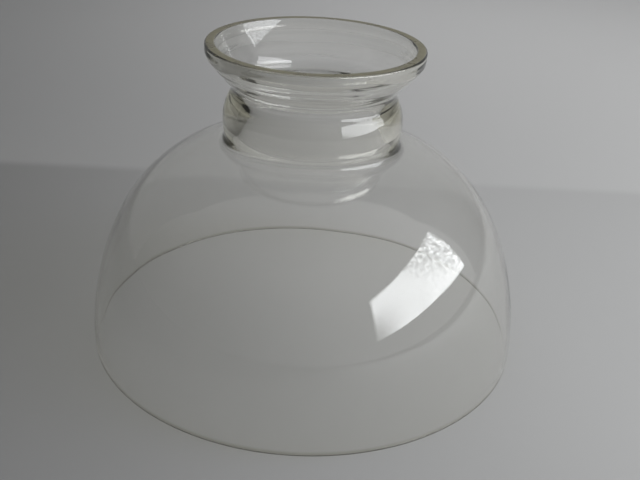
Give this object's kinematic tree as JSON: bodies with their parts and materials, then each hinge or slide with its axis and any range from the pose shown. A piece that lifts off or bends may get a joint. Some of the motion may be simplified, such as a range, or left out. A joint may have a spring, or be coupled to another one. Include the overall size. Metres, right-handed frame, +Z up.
{
  "type": "glass lamp shade",
  "caption": "Clear blown-glass dome lamp shade, open at its wide foot, with a collared neck and a flared, flat-ground mouth that a lamp's chimney passes through.",
  "frame": {"origin": "on the shade's axis, at the level of the foot rim that sits on the lamp's shade ring", "axes": "+Z up along the shade's axis, from the wide foot to the mouth; the shade is round, so +X and +Y are free"},
  "size_m": [0.235, 0.235, 0.1618],
  "materials": {
    "clear_glass": "clear blown glass, fire-polished, with a flat-ground rim"
  },
  "bodies": {
    "root": {"glass_shade": "clear_glass"}
  },
  "joints": []
}
